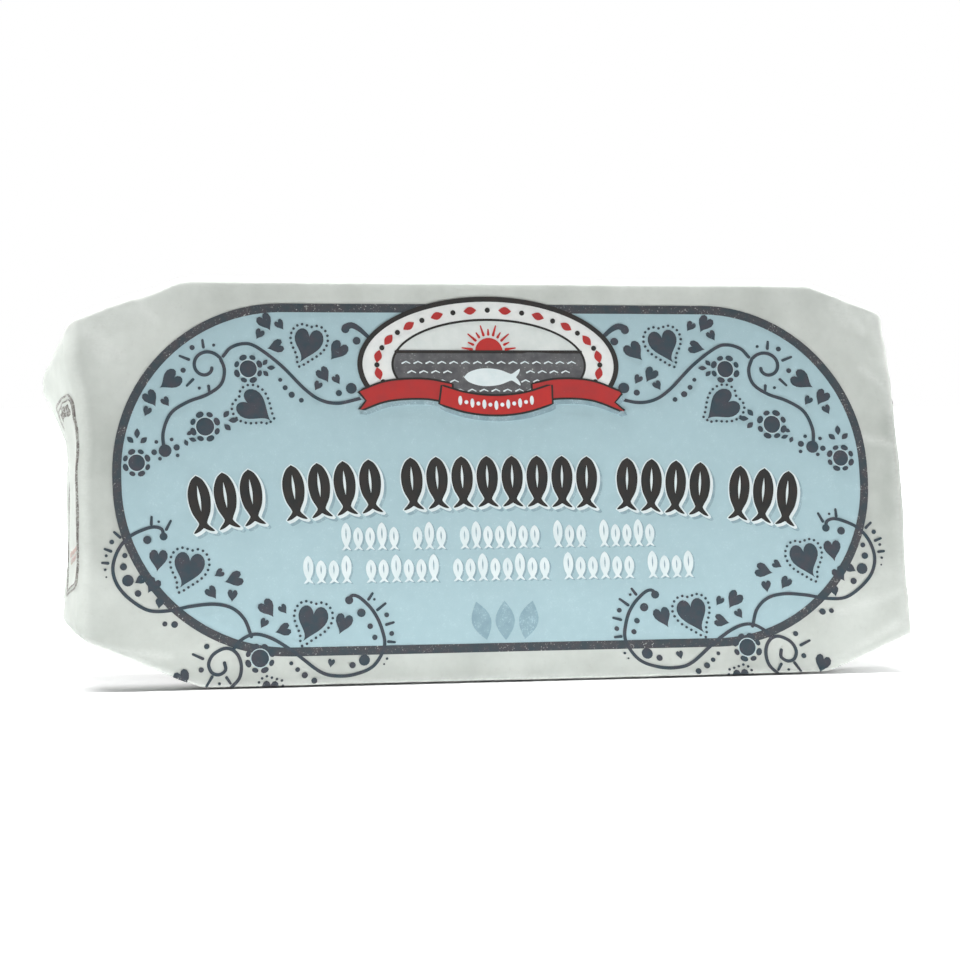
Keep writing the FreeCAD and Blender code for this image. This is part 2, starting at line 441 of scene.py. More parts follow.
def lay_on(place, spots):
    """Spots of flat print brought down onto the paper, with their outward directions."""
    tops, outs = [], []
    for x, s in spots:
        spot, out = place(x, s)
        hit = surface.ray_cast(spot + out * DROP_FROM, -out, DROP_REACH)[0]
        tops.append(hit if hit else spot)
        outs.append(out)
    return np.array(tops), np.array(outs)


def anticlockwise(outline):
    """An outline in the order that keeps its inside on the left."""
    area = sum(a[0] * b[1] - b[0] * a[1] for a, b in zip(outline, outline[1:] + outline[:1]))
    return outline if area > 0 else outline[::-1]


def fill(shapes, inner_spots=()):
    """Triangles that fill shapes, each an outline with holes, over their common outline."""
    points, rings, owners = [], [], []
    for index, shape in enumerate(shapes):
        outline, holes = shape if isinstance(shape, tuple) else (shape, [])
        for ring, is_hole in [(outline, False)] + [(h, True) for h in holes]:
            ring = anticlockwise([tuple(p) for p in ring])
            rings.append(list(range(len(points), len(points) + len(ring))))
            points += ring
            owners.append((index, is_hole))
    points += list(inner_spots)
    made = geometry.delaunay_2d_cdt([Vector(p) for p in points], [], rings, 1, 1e-5)
    spots, _, triangles, _, _, origins = made
    kept = []
    for triangle, inside in zip(triangles, origins):
        covering = {owners[i][0] for i in inside if not owners[i][1]}
        cut = {owners[i][0] for i in inside if owners[i][1]}
        if covering - cut:
            kept.append(list(triangle))
    used = sorted({i for t in kept for i in t})
    number = {old: new for new, old in enumerate(used)}
    return [tuple(spots[i]) for i in used], [[number[i] for i in t] for t in kept]


def grid_spots(low, high, step):
    """Spots on a staggered grid, to let a filled shape follow the paper."""
    spots = []
    rows = int((high[1] - low[1]) / step) + 1
    for row in range(rows):
        y = low[1] + row * step
        x = low[0] + (row % 2) * step / 2
        while x < high[0]:
            spots.append((x, y))
            x += step
    return spots


def print_ink(name, shapes, layer, tint, place=on_label, spots=()):
    """One ink of the print as a thin piece that follows the paper."""
    flat, triangles = fill(shapes, spots)
    tops, outs = lay_on(place, flat)
    points, faces = slab(tops, outs, triangles, layer * INK_STEP, INK_ROOT)
    return new_piece(name, points, faces, ink[tint], SHARP_INK)


# ------------ motifs of the print

def turned(outline, x, y, turn=0.0, flip=1):
    """An outline turned by degrees, flipped if asked and moved to its place."""
    c, s = cos(radians(turn)), sin(radians(turn))
    return [(x + flip * (px * c - py * s), y + px * s + py * c) for px, py in outline]


def oval(x, y, rx, ry=None, turn=0.0, steps=None):
    """A circle, or an oval of two radii."""
    ry = rx if ry is None else ry
    steps = steps or max(10, int(9 * max(rx, ry) ** 0.5) + 6)
    ring = [(rx * cos(2 * pi * k / steps), ry * sin(2 * pi * k / steps)) for k in range(steps)]
    return turned(ring, x, y, turn)


def shifted(outline, across, up):
    """An outline moved across and up."""
    return [(px + across, py + up) for px, py in outline]


def leaf(x, y, length, width, turn=0.0):
    """A pointed oval, lying along its turn."""
    steps = 8
    upper = [(length * (k / steps - 0.5), width / 2 * sin(pi * k / steps)) for k in range(steps)]
    lower = [(-px, -py) for px, py in upper]
    return turned(upper + lower, x, y, turn)


HEART_WIDE, HEART_TALL = 0.86, 1.14


def heart(x, y, size, turn=0.0, sway=0.0):
    """A heart whose point is down at no turn and swings outwards with a positive one."""
    ring = []
    steps = max(16, int(size * 9))
    for k in range(steps):
        t = 2 * pi * k / steps
        px = 16 * sin(t) ** 3
        py = 13 * cos(t) - 5 * cos(2 * t) - 2 * cos(3 * t) - cos(4 * t) + 2.5
        px += sway * 0.030 * min(py, 0.0) ** 2
        ring.append((px * size * HEART_WIDE / 30, py * size * HEART_TALL / 30))
    return turned(ring, x, y, turn)


def smooth_line(points, step=0.35):
    """A flowing line through points, in even steps."""
    points = np.array(points, float)
    ends = np.vstack((2 * points[0] - points[1], points, 2 * points[-1] - points[-2]))
    line = []
    for a, b, c, d in zip(ends, ends[1:], ends[2:], ends[3:]):
        steps = max(2, int(np.hypot(*(c - b)) / step) + 1)
        for k in range(steps):
            t = k / steps
            line.append(0.5 * (2 * b + (c - a) * t + (2 * a - 5 * b + 4 * c - d) * t * t
                               + (3 * b - a - 3 * c + d) * t ** 3))
    line.append(points[-1])
    return np.array(line)


def stroke(line, width, tip=None):
    """The outline of a drawn line with round ends; tip is its width at the far end."""
    line = np.array(line, float)
    way = np.gradient(line, axis=0)
    way /= np.hypot(way[:, 0], way[:, 1])[:, None]
    side = np.column_stack((-way[:, 1], way[:, 0]))
    widths = np.linspace(width, width if tip is None else tip, len(line)) / 2
    left = line + side * widths[:, None]
    right = line - side * widths[:, None]

    def cap(centre, start, radius):
        """The round end of the line."""
        angle = np.arctan2(start[1], start[0])
        turns = [angle - pi * k / 5 for k in range(1, 5)]
        return [tuple(centre + radius * np.array((cos(turn), sin(turn)))) for turn in turns]
    return ([tuple(p) for p in left] + cap(line[-1], side[-1], widths[-1])
            + [tuple(p) for p in right[::-1]] + cap(line[0], -side[0], widths[0]))


def spiral(x, y, outer, inner, start, turns, steps=40):
    """The middle line of a spiral that winds inwards from an angle in degrees."""
    line = []
    for k in range(steps + 1):
        t = k / steps
        angle = radians(start + 360 * turns * t)
        r = outer + (inner - outer) * t
        line.append((x + r * cos(angle), y + r * sin(angle)))
    return line


def grown(outline, by):
    """A closed outline moved outwards all round."""
    ring = np.array(anticlockwise([tuple(p) for p in outline]))
    way = np.roll(ring, -1, axis=0) - np.roll(ring, 1, axis=0)
    way /= np.maximum(np.hypot(way[:, 0], way[:, 1]), 1e-9)[:, None]
    return [tuple(p) for p in ring + np.column_stack((way[:, 1], -way[:, 0])) * by]


# a heart's outline starts at its notch, which its dots pass by
HALO_SKIP = 3


def halo(outline, away, gap, size):
    """Small dots all round a heart, none nearer to it than the rest."""
    shape = np.array(outline)
    ring = grown(outline, away)[HALO_SKIP:-HALO_SKIP]
    ring = [p for p in ring if np.hypot(*(shape - p).T).min() > 0.85 * away]
    ring = np.array(ring + ring[:1])
    lengths = np.concatenate(([0.0], np.cumsum(np.hypot(*np.diff(ring, axis=0).T))))
    count = int(lengths[-1] / gap)
    return [oval(np.interp(lengths[-1] * k / count, lengths, ring[:, 0]),
                 np.interp(lengths[-1] * k / count, lengths, ring[:, 1]), size, steps=8)
            for k in range(count)]


def daisy(x, y, size):
    """A disc with eight petals, large and small by turns."""
    shapes = [oval(x, y, size)]
    for k in range(8):
        angle = radians(22 + 45 * k)
        petal = size * (0.46 if k % 2 else 0.38)
        far = size * 1.40
        shapes.append(oval(x + far * cos(angle), y + far * sin(angle), petal * 0.72, petal,
                           22 + 45 * k, 10))
    return shapes


def pale_ring(x, y, size):
    """The pale ring between a daisy's disc and its petals."""
    return oval(x, y, size * 1.09, steps=28), [oval(x, y, size * 0.99, steps=28)]


def sprig(x, y, size, turn):
    """Three little leaves that spread from one spot."""
    shapes = []
    for k in (-1, 0, 1):
        angle = radians(turn + 62 * k)
        far = size * (0.95 if k == 0 else 0.70)
        shapes.append(leaf(x + far * cos(angle), y + far * sin(angle),
                           size * (0.95 if k == 0 else 0.80), size * 0.50, turn + 48 * k))
    return shapes


def well_inside(spot, side_inset, top_inset):
    """Whether a spot is inside the badge's oval drawn inwards by two insets."""
    across = (spot[0] - BADGE_X) / (BADGE_HALF_WIDTH - side_inset)
    up = (spot[1] - BADGE_V) / (BADGE_HALF_HEIGHT - top_inset)
    return across ** 2 + up ** 2 < 1.0


def sunburst(x, y, radius, marks):
    """Rays and dots round a spiral: each mark is an angle and a length, or minus a dot's size."""
    shapes = []
    for angle, size in marks:
        across, up = cos(radians(angle)), sin(radians(angle))
        if size > 0:
            ends = [(x + far * across, y + far * up)
                    for far in (radius - size / 2, radius + size / 2)]
            shapes.append(stroke(ends, RAY, RAY * 0.8))
        else:
            shapes.append(oval(x + radius * across, y + radius * up, -size))
    return shapes


LINE, RAY = 0.42, 0.38
LABEL_X = -0.3
ORNAMENT_X = -1.2

# how each corner's ornament is printed: stretched, shifted inwards and spread near the fold
LAYOUT = {("upper", -1): (1.0, 0.97, 0.0), ("upper", 1): (1.066, 2.83, 0.0),
          ("lower", -1): (1.0, 0.97, 0.04), ("lower", 1): (1.03, 0.55, 0.10)}
SPREAD_BELOW = 8.0


def laid_out(a, v, level, side):
    """The place on the label of a spot of a corner's ornament."""
    stretch, shift, low_spread = LAYOUT[level, side]
    return ORNAMENT_X + side * (stretch * a - shift + low_spread * max(0.0, SPREAD_BELOW - v)), v


# motifs of the corners, as distances out from the label's middle and up: for a daisy, its
# size; for a heart, its size, turn and sway; for a dot, its size
UPPER_DAISIES = ((32.1, 39.6, 1.1), (37.7, 32.3, 1.15), (46.3, 27.8, 1.05))
LOWER_DAISIES = ((31.5, 3.3, 1.12),)
UPPER_HALOED = ((24.4, 42.5, 4.0, 8, 1.2), (31.2, 34.6, 4.2, -58, 0.6))
UPPER_HEARTS = (
    (20.7, 41.8, 2.5, 32, 0.5), (42.0, 38.0, 2.7, 50, 0.4), (44.3, 35.8, 2.0, -35, 0.4),
    (42.5, 35.4, 1.2, -35, 0), (44.9, 34.2, 1.2, 25, 0), (29.7, 45.5, 2.1, -35, 0.4),
    (27.9, 45.2, 1.3, -35, 0), (30.6, 44.0, 1.3, 30, 0), (28.6, 42.4, 1.9, 72, 0.4),
    (22.5, 38.8, 1.9, -35, 0.4), (20.9, 38.2, 1.2, -30, 0), (23.4, 37.4, 1.2, 30, 0))
UPPER_DOTS = (
    (28.1, 38.2, 0.26), (27.5, 37.2, 0.32), (26.7, 36.3, 0.4), (25.5, 35.6, 0.31),
    (20.7, 36.5, 0.4), (19.1, 37.1, 0.7), (42.75, 29.3, 0.8), (43.8, 30.4, 0.24),
    (41.9, 30.7, 0.24), (44.1, 29.1, 0.36), (41.3, 29.7, 0.4), (43.4, 28.3, 0.24),
    (41.2, 28.7, 0.24))
LOWER_LINES = (
    ((43.2, 18.7), (43.4, 19.5), (44.3, 19.8), (45.6, 19.5), (47.4, 18.6), (48.8, 17.0),
     (49.5, 14.8), (49.0, 12.7), (47.5, 10.9), (45.3, 9.5), (42.8, 9.4), (40.0, 9.9),
     (37.2, 10.1), (35.0, 9.6), (33.5, 8.2), (32.6, 6.0)),
    ((20.4, 10.4), (19.8, 10.9), (18.8, 10.5), (17.3, 8.9), (16.2, 6.6), (15.9, 4.4),
     (17.2, 2.1), (19.4, 1.1), (21.8, 0.9), (24.0, 1.5), (27.3, 4.0), (30.0, 5.7),
     (32.2, 6.3), (33.9, 5.6), (34.8, 4.5)),
    ((36.0, -1.6), (35.1, -0.3), (34.05, 0.9), (33.8, 2.3), (34.15, 3.6), (34.95, 4.45),
     (36.0, 4.6), (37.3, 3.9), (37.85, 2.75), (37.45, 1.7), (36.55, 1.4), (35.75, 1.95),
     (35.9, 2.85)))
LOWER_HALOED = ((40.2, 14.3, 4.1, 8, 1.2), (25.0, 7.4, 4.1, 8, 1.2))
BOTTOM_HEART = (30.2, -0.75, 2.3, 4, 0.2)
LOWER_HEARTS = (
    (43.9, 15.6, 2.5, 2, 0.4), (21.1, 7.3, 2.4, 14, 0.5), (36.5, 13.9, 1.2, 60, 0),
    (34.7, 13.1, 2.1, 70, 0.4), (37.4, 11.5, 1.6, -38, 0.3), (34.9, 11.1, 1.4, 6, 0),
    (30.5, 9.4, 2.2, -38, 0.4), (28.6, 9.3, 1.2, -35, 0), (31.1, 7.6, 1.2, 30, 0),
    (28.7, 6.7, 1.8, 70, 0.4), (22.6, 2.5, 1.0, 10, 0), BOTTOM_HEART,
    (41.0, 0.9, 2.2, -25, 0.3), (43.9, 10.3, 1.2, 10, 0), (44.7, 12.5, 1.9, 30, 0.3),
    (46.3, 13.2, 1.2, 60, 0))
LOWER_DOTS = (
    (48.0, 16.3, 0.33), (48.2, 14.9, 0.44), (47.7, 13.2, 0.72), (46.5, 11.6, 0.42),
    (45.2, 18.2, 0.52), (43.3, 7.8, 0.32), (42.1, 7.7, 0.42), (27.6, 2.6, 0.25),
    (26.8, 1.8, 0.3), (25.9, 1.1, 0.4), (24.7, 0.4, 0.38), (19.9, 2.2, 0.4),
    (18.4, 2.8, 0.7), (18.8, 8.7, 0.54), (17.7, 7.0, 0.36), (17.1, 5.6, 0.34))
HALO_AWAY, HALO_GAP, HALO_DOT = 0.56, 0.64, 0.175


def hearts_and_daisies(haloed, hearts, also_haloed, daisies):
    """Hearts, the dots round the haloed ones, and daisies."""
    shapes = [heart(*one) for one in haloed + hearts]
    for one in haloed + also_haloed:
        shapes += halo(heart(*one), HALO_AWAY, HALO_GAP, HALO_DOT)
    for one in daisies:
        shapes += daisy(*one)
    return shapes


def upper_ornament():
    """Scroll, hearts and daisies of an upper corner."""
    shapes = [
        stroke(smooth_line([(42.9, 29.5), (42.9, 31.7), (41.9, 34.0), (39.8, 35.4),
                            (37.4, 36.3), (35.6, 37.6), (35.1, 39.4), (35.6, 41.0)]), LINE),
        stroke(spiral(37.4, 39.9, 2.05, 0.75, 145, -0.86), LINE),
        stroke(smooth_line([(35.2, 41.2), (34.2, 42.3), (32.6, 42.8), (31.0, 42.4), (28.0, 40.1),
                            (25.0, 37.0), (23.0, 35.6), (20.8, 35.2), (18.0, 35.8)]), LINE),
        stroke(smooth_line([(19.6, 44.9), (18.8, 45.2), (17.8, 44.7), (16.6, 43.6)]), 0.9, 0.45),
        oval(19.6, 44.7, 0.52), oval(18.2, 43.2, 0.5),
    ]
    shapes += sunburst(37.4, 39.9, 2.9, ((84, 0.9), (111, -0.2), (55, -0.33), (22, 1.2),
                                         (-10, -0.33), (-45, 1.1), (-72, -0.2), (-96, 0.8)))
    shapes += hearts_and_daisies(UPPER_HALOED, UPPER_HEARTS, (), UPPER_DAISIES)
    for one in ((30.3, 39.7, 1.15, 178), (35.4, 33.0, 1.35, 176), (40.2, 31.0, 1.05, 200),
                (46.2, 30.2, 1.35, 92)):
        shapes += sprig(*one)
    return shapes + [oval(*one) for one in UPPER_DOTS]


def lower_ornament():
    """Loops, spiral and hearts of a lower corner; some cross the border and the bottom fold."""
    shapes = [stroke(smooth_line(line), LINE) for line in LOWER_LINES]
    shapes += [oval(43.2, 18.6, 0.5), oval(20.3, 10.3, 0.52)]
    shapes += hearts_and_daisies(LOWER_HALOED, LOWER_HEARTS, (BOTTOM_HEART,), LOWER_DAISIES)
    shapes += [oval(*one) for one in LOWER_DOTS]
    for middle, radius, marks in (
            ((45.0, 15.4), 5.2, ((118, 1.2), (104, -0.17), (94, 0.9))),
            ((44.6, 14.9), 5.85, ((43, 0.95), (32, -0.3), (21, 0.8), (14, -0.19), (5, 0.7),
                                  (-3, -0.17), (-12, -0.12))),
            ((21.3, 5.6), 6.35, ((126, 0.9), (131.5, -0.17), (143, 1.3), (154, -0.31),
                                 (164.5, 0.95), (176, -0.31), (185.5, 0.8), (205, -0.17),
                                 (212, -0.12))),
            ((36.6, 2.5), 2.85, ((58, -0.34), (25, 1.35))),
            ((36.6, 2.5), 2.2, ((-12, -0.33), (-59, 1.3), (-93, -0.18), (-124, 0.9)))):
        shapes += sunburst(*middle, radius, marks)
    return shapes


def both_sides(shapes, level):
    """Shapes drawn outwards from the label's middle, placed on its right and its left."""
    return [[laid_out(a, v, level, side) for a, v in shape] for side in (-1, 1) for shape in shapes]


def rounded_box(x, y, half_width, half_height, corner, steps=6, part=0.9):
    """The outline of an upright box with round corners, in parts of about one length."""
    ring = []
    for k, (sx, sy) in enumerate(((1, 1), (-1, 1), (-1, -1), (1, -1))):
        cx, cy = x + sx * (half_width - corner), y + sy * (half_height - corner)
        for i in range(steps + 1):
            angle = pi / 2 * (k + i / steps)
            ring.append((cx + corner * cos(angle), cy + corner * sin(angle)))
    full = []
    for a, b in zip(ring, ring[1:] + ring[:1]):
        parts = max(1, int(np.hypot(b[0] - a[0], b[1] - a[1]) / part))
        full += [(a[0] + (b[0] - a[0]) * i / parts, a[1] + (b[1] - a[1]) * i / parts)
                 for i in range(parts)]
    return full


def panel(inset):
    """The label's panel, drawn inwards by an inset."""
    return rounded_box(LABEL_X, PANEL_V, PANEL_HALF_WIDTH - inset, PANEL_HALF_HEIGHT - inset,
                       PANEL_CORNER - inset, 26, 1.0)


PANEL_V = 25.7
PANEL_HALF_WIDTH, PANEL_HALF_HEIGHT, PANEL_CORNER = 49.25, 22.25, 21.6
BORDER = 1.1


# half of a little fish that stands on its tail, as shares of its width and height
FISH_HALF = ((0.0, 0.5), (0.24, 0.42), (0.42, 0.25), (0.46, 0.06), (0.38, -0.14), (0.20, -0.30),
             (0.19, -0.36), (0.44, -0.49), (0.22, -0.475), (0.0, -0.42))


def sardine(height, width):
    """The outline of a little fish."""
    half = smooth_line([(px * width, py * height) for px, py in FISH_HALF], 0.3)
    right = [tuple(p) for p in half]
    return right + [(-px, py) for px, py in right[-2:0:-1]]


ARCH_RADIUS = 290.0


def arched(x, height):
    """The place and tilt of a motif on the arch over the label's middle."""
    angle = x / ARCH_RADIUS
    return (ARCH_RADIUS * sin(angle) - 0.6, height - ARCH_RADIUS * (1 - cos(angle)),
            -angle * 180 / pi)


# ------------ materials

def feed(tree, socket, value):
    """A socket is linked to another one, or set to a value."""
    if isinstance(value, bpy.types.NodeSocket):
        tree.links.new(value, socket)
    else:
        socket.default_value = value


def add(tree, kind, setup=None, **inputs):
    """A node with its settings and inputs."""
    made = tree.nodes.new("ShaderNode" + kind)
    for name, value in (setup or {}).items():
        setattr(made, name, value)
    for name, value in inputs.items():
        feed(tree, made.inputs[name.replace("_", " ")], value)
    return made


def add_in_order(tree, kind, setup, *values):
    """A node whose inputs are given in order: what it gives first."""
    made = add(tree, kind, setup)
    for socket, value in zip(made.inputs, values):
        feed(tree, socket, value)
    return made.outputs[0]


def reckon(tree, operation, *values):
    """A sum between sockets and numbers."""
    return add_in_order(tree, "Math", dict(operation=operation), *values)


def weighed(tree, first, first_weight, second, second_weight):
    """The sum of two values, each by its weight."""
    return reckon(tree, "ADD", reckon(tree, "MULTIPLY", first, first_weight),
                  reckon(tree, "MULTIPLY", second, second_weight))


def blend(tree, amount, first, second):
    """Two colours mixed by an amount."""
    made = add(tree, "Mix", dict(data_type="RGBA"))
    for index, value in ((0, amount), (6, first), (7, second)):
        feed(tree, made.inputs[index], value)
    return made.outputs[2]


def spread(tree, value, low, high, to_low=0.0, to_high=1.0):
    """A value stretched from one range to another, and held inside it."""
    return add(tree, "MapRange", dict(clamp=True), Value=value, From_Min=low, From_Max=high,
               To_Min=to_low, To_Max=to_high).outputs[0]


def effect(name, sizes, outputs):
    """An empty shader group that takes a position and named numbers and gives named numbers."""
    group = bpy.data.node_groups.new(name, "ShaderNodeTree")
    group.interface.new_socket("Position", in_out="INPUT", socket_type="NodeSocketVector")
    for label, value in sizes.items():
        socket = group.interface.new_socket(label, in_out="INPUT", socket_type="NodeSocketFloat")
        socket.default_value = value
    for label in outputs:
        group.interface.new_socket(label, in_out="OUTPUT", socket_type="NodeSocketFloat")
    given, result = group.nodes.new("NodeGroupInput"), group.nodes.new("NodeGroupOutput")
    return group, given.outputs, result.inputs


def place_effect(tree, group, **inputs):
    """A shader group put into a tree: what it gives."""
    return add(tree, "Group", dict(node_tree=group), **inputs).outputs


def noise_of(tree, position, scale, detail, roughness):
    """Soft noise over a position."""
    return add(tree, "TexNoise", None, Vector=position, Scale=scale, Detail=detail,
               Roughness=roughness).outputs[0]


FIBRE_STRETCH = (0.3, 0.3, 1.0)


def paper_grain():
    """Fibres, pores and cloudiness of uncoated paper."""
    group, given, result = effect("Paper grain", {"Fibre Size": 0.35, "Cloud Size": 6.0},
                                  ("Height", "Cloud", "Fleck"))
    stretched = add_in_order(group, "VectorMath", dict(operation="MULTIPLY"),
                             given["Position"], FIBRE_STRETCH)
    fine = reckon(group, "DIVIDE", 1000.0, given["Fibre Size"])
    wide = reckon(group, "DIVIDE", 1000.0, given["Cloud Size"])
    fibres = noise_of(group, stretched, fine, 3.0, 0.6)
    pores = noise_of(group, given["Position"], fine, 2.0, 0.5)
    clouds = noise_of(group, given["Position"], wide, 4.0, 0.62)
    flecks = noise_of(group, given["Position"], reckon(group, "MULTIPLY", fine, 0.55), 1.0, 0.5)
    feed(group, result["Height"], weighed(group, fibres, 0.6, pores, 0.4))
    feed(group, result["Cloud"], spread(group, clouds, 0.3, 0.7))
    feed(group, result["Fleck"], spread(group, flecks, 0.66, 0.74))
    return group


def ink_cover():
    """How printed ink covers rough paper: bare specks, and a slow drift of its tone."""
    group, given, result = effect("Ink cover", {"Speck Size": 0.25, "Bareness": 0.2},
                                  ("Specks", "Drift"))
    scale = reckon(group, "DIVIDE", 1000.0, given["Speck Size"])
    specks = noise_of(group, given["Position"], scale, 3.0, 0.65)
    patches = noise_of(group, given["Position"], reckon(group, "MULTIPLY", scale, 0.16), 2.0, 0.6)
    level = reckon(group, "SUBTRACT", 0.72, reckon(group, "MULTIPLY", given["Bareness"], 0.3))
    above = reckon(group, "SUBTRACT", weighed(group, specks, 0.75, patches, 0.25), level)
    feed(group, result["Specks"], spread(group, above, 0.0, 0.09))
    feed(group, result["Drift"], spread(group, patches, 0.32, 0.68))
    return group


GRAIN, COVER = paper_grain(), ink_cover()
GREY_PAPER_SHADE = (0.38, 0.405, 0.375, 1.0)
GREY_PAPER_LIGHT = (0.70, 0.728, 0.690, 1.0)
# the pale of worn folds, and of the painted highlight on folds, ridges and creases
WEAR_AND_HIGHLIGHT_WHITE = (0.72, 0.74, 0.71, 1.0)
FIBRE_DARK = (0.36, 0.36, 0.33, 1.0)


def empty_tree(owner):
    """The cleared node tree of a material or world."""
    owner.use_nodes = True
    owner.node_tree.nodes.clear()
    return owner.node_tree


def new_material(name):
    """A material with one shader: itself, its tree, the shader, the position and the grain."""
    material = bpy.data.materials.new(name)
    tree = empty_tree(material)
    shader = add(tree, "BsdfPrincipled")
    feed(tree, add(tree, "OutputMaterial").inputs[0], shader.outputs[0])
    position = add(tree, "TexCoord").outputs["Object"]
    grain = place_effect(tree, GRAIN, Position=position, Fibre_Size=0.32, Cloud_Size=7.0)
    return material, tree, shader, position, grain


def dress(tree, shader, grain, colour, smoothest, roughest, relief_strength):
    """The shader's colour, cloudy roughness and grain relief."""
    feed(tree, shader.inputs["Base Color"], colour)
    rough = spread(tree, grain["Cloud"], 0.0, 1.0, smoothest, roughest)
    feed(tree, shader.inputs["Roughness"], rough)
    relief_node = add(tree, "Bump", None, Strength=relief_strength, Distance=GRAIN_DEPTH,
                      Height=grain["Height"])
    feed(tree, shader.inputs["Normal"], relief_node.outputs[0])
    feed(tree, shader.inputs["Specular IOR Level"], SPECULAR)


GRAIN_DEPTH, SPECULAR = 0.00006, 0.3


def paper_material():
    """The bare wrapping paper: cloudy, darkened by grime and by painted shade, and made pale along
    its folds, ridges and creases by wear and by painted highlight.
    """
    material, tree, shader, position, grain = new_material("grey_wrapping_paper")
    worn = add(tree, "Attribute", dict(attribute_name="fold_wear_and_highlight")).outputs["Fac"]
    grimed_and_shaded = add(tree, "Attribute", dict(attribute_name="grime_shade_and_light")).outputs["Fac"]
    # grime and painted shade darken the paper; below zero, painted light makes it paler
    light = spread(tree, reckon(tree, "SUBTRACT", grain["Cloud"], grimed_and_shaded), -0.9, 1.9)
    tone = blend(tree, light, GREY_PAPER_SHADE, GREY_PAPER_LIGHT)
    tone = blend(tree, reckon(tree, "MULTIPLY", grain["Fleck"], 0.10), tone, FIBRE_DARK)
    # folds, ridges and creases turn pale with wear and with painted highlight
    rubbed_and_lit = reckon(tree, "MULTIPLY", worn, spread(tree, grain["Height"], 0.4, 0.6, 0.45, 0.9))
    dress(tree, shader, grain, blend(tree, rubbed_and_lit, tone, WEAR_AND_HIGHLIGHT_WHITE), 0.70, 0.84, 0.30)
    return material


def ink_material(name, colour, drift_colour, speck_colour, bareness):
    """A printed ink: its colour drifts a little and the paper shows through in specks."""
    material, tree, shader, position, grain = new_material(name)
    cover = place_effect(tree, COVER, Position=position, Speck_Size=0.22, Bareness=bareness)
    colour, drift_colour, speck_colour = ((*c, 1.0) for c in (colour, drift_colour, speck_colour))
    tone = blend(tree, cover["Drift"], colour, drift_colour)
    tone = blend(tree, reckon(tree, "MULTIPLY", cover["Specks"], 0.8), tone, speck_colour)
    dress(tree, shader, grain, tone, 0.54, 0.68, 0.25)
    return material


PALE = (0.55, 0.58, 0.55)
# each ink: its colour, the one it drifts to, what shows through its specks, and how bare it is
INKS = dict(
    pale_blue=((0.355, 0.492, 0.532), (0.368, 0.506, 0.546), (0.44, 0.58, 0.61), 0.48),
    slate=((0.036, 0.052, 0.062), (0.060, 0.056, 0.062), PALE, 0.42),
    dark_teal=((0.030, 0.052, 0.066), (0.052, 0.052, 0.064), (0.30, 0.40, 0.44), 0.25),
    grey_shadow=((0.22, 0.32, 0.36), (0.30, 0.40, 0.44), (0.40, 0.55, 0.60), 0.6),
    white=((0.69, 0.75, 0.755), (0.62, 0.70, 0.71), (0.50, 0.64, 0.66), 0.35),
    light_blue=((0.52, 0.62, 0.64), (0.46, 0.57, 0.60), PALE, 0.3),
    black=((0.014, 0.015, 0.015), (0.022, 0.018, 0.016), PALE, 0.05),
    red=((0.46, 0.030, 0.026), (0.40, 0.030, 0.028), (0.6, 0.25, 0.2), 0.1),
    pale_cream=((0.74, 0.75, 0.73), (0.68, 0.70, 0.69), PALE, 0.25),
    dark_red=((0.40, 0.030, 0.028), (0.34, 0.032, 0.032), (0.5, 0.25, 0.2), 0.15),
    soft_grey=((0.15, 0.135, 0.13), (0.27, 0.25, 0.23), PALE, 0.7),
    rosy=((0.52, 0.38, 0.35), (0.50, 0.43, 0.40), PALE, 0.5),
    sky=((0.60, 0.64, 0.62), (0.66, 0.69, 0.67), PALE, 0.3),
    grey_sea=((0.075, 0.075, 0.080), (0.12, 0.12, 0.125), PALE, 0.35),
    grey_blue=((0.215, 0.325, 0.375), (0.26, 0.38, 0.43), (0.38, 0.53, 0.58), 0.55))

paper = paper_material()
ink = {name: ink_material(f"{name}_ink", *recipe) for name, recipe in INKS.items()}


# ------------ wrapper and its laps

sheet = make_wrapper()
surface = BVHTree.FromBMesh(sheet)
sheet.verts.ensure_lookup_table()
spots = [p.co.copy() for p in sheet.verts]
wrapper = new_piece("paper_wrapper", spots, [[p.index for p in f.verts] for f in sheet.faces],
                    paper, SHARP_PAPER)


def fold_wear_and_highlight(x, v, n):
    """How much a place is made pale along the folds, the ridges of the ends and the creases: partly
    wear, partly painted highlight.
    """
    end = LEFT if x < 0 else RIGHT
    to_end = end_reach(end, v) - abs(x)
    low, high = face_span(end, x)
    near_front = 1.0 - smooth(n / 1.2)
    near_back = 1.0 - smooth((DEPTH - n) / 1.2)
    # painted highlight on the ridges of the ends; on the folds it goes with their wear
    ridge = max(0.35 * bump(to_end, 0.7, 1.1), bump(v - low, 0.3, 0.8),
                bump(high - v, 0.4, 0.9))
    rubbed_and_lit = ridge * max(near_front, near_back)
    if n < 1.0:
        # painted highlight along the creases, together with their wear
        for crease in CREASES:
            rubbed_and_lit = max(rubbed_and_lit, 0.5 * bump(distance_to(x, v, crease), 0.0, 1.0))
    return rubbed_and_lit


# side, height of the middle, reach and strength of each area painted darker as shade, or paler as
# light where the strength is below zero
PAINTED_SHADE_AND_LIGHT = ((-1, 25.0, 16.0, 0.9), (-1, 6.0, 8.0, 0.5), (-1, 47.0, 9.0, -0.8),
           (1, 25.0, 15.0, 0.8), (1, 46.0, 8.0, -0.35))
SMUDGE = (52.6, 32.5)


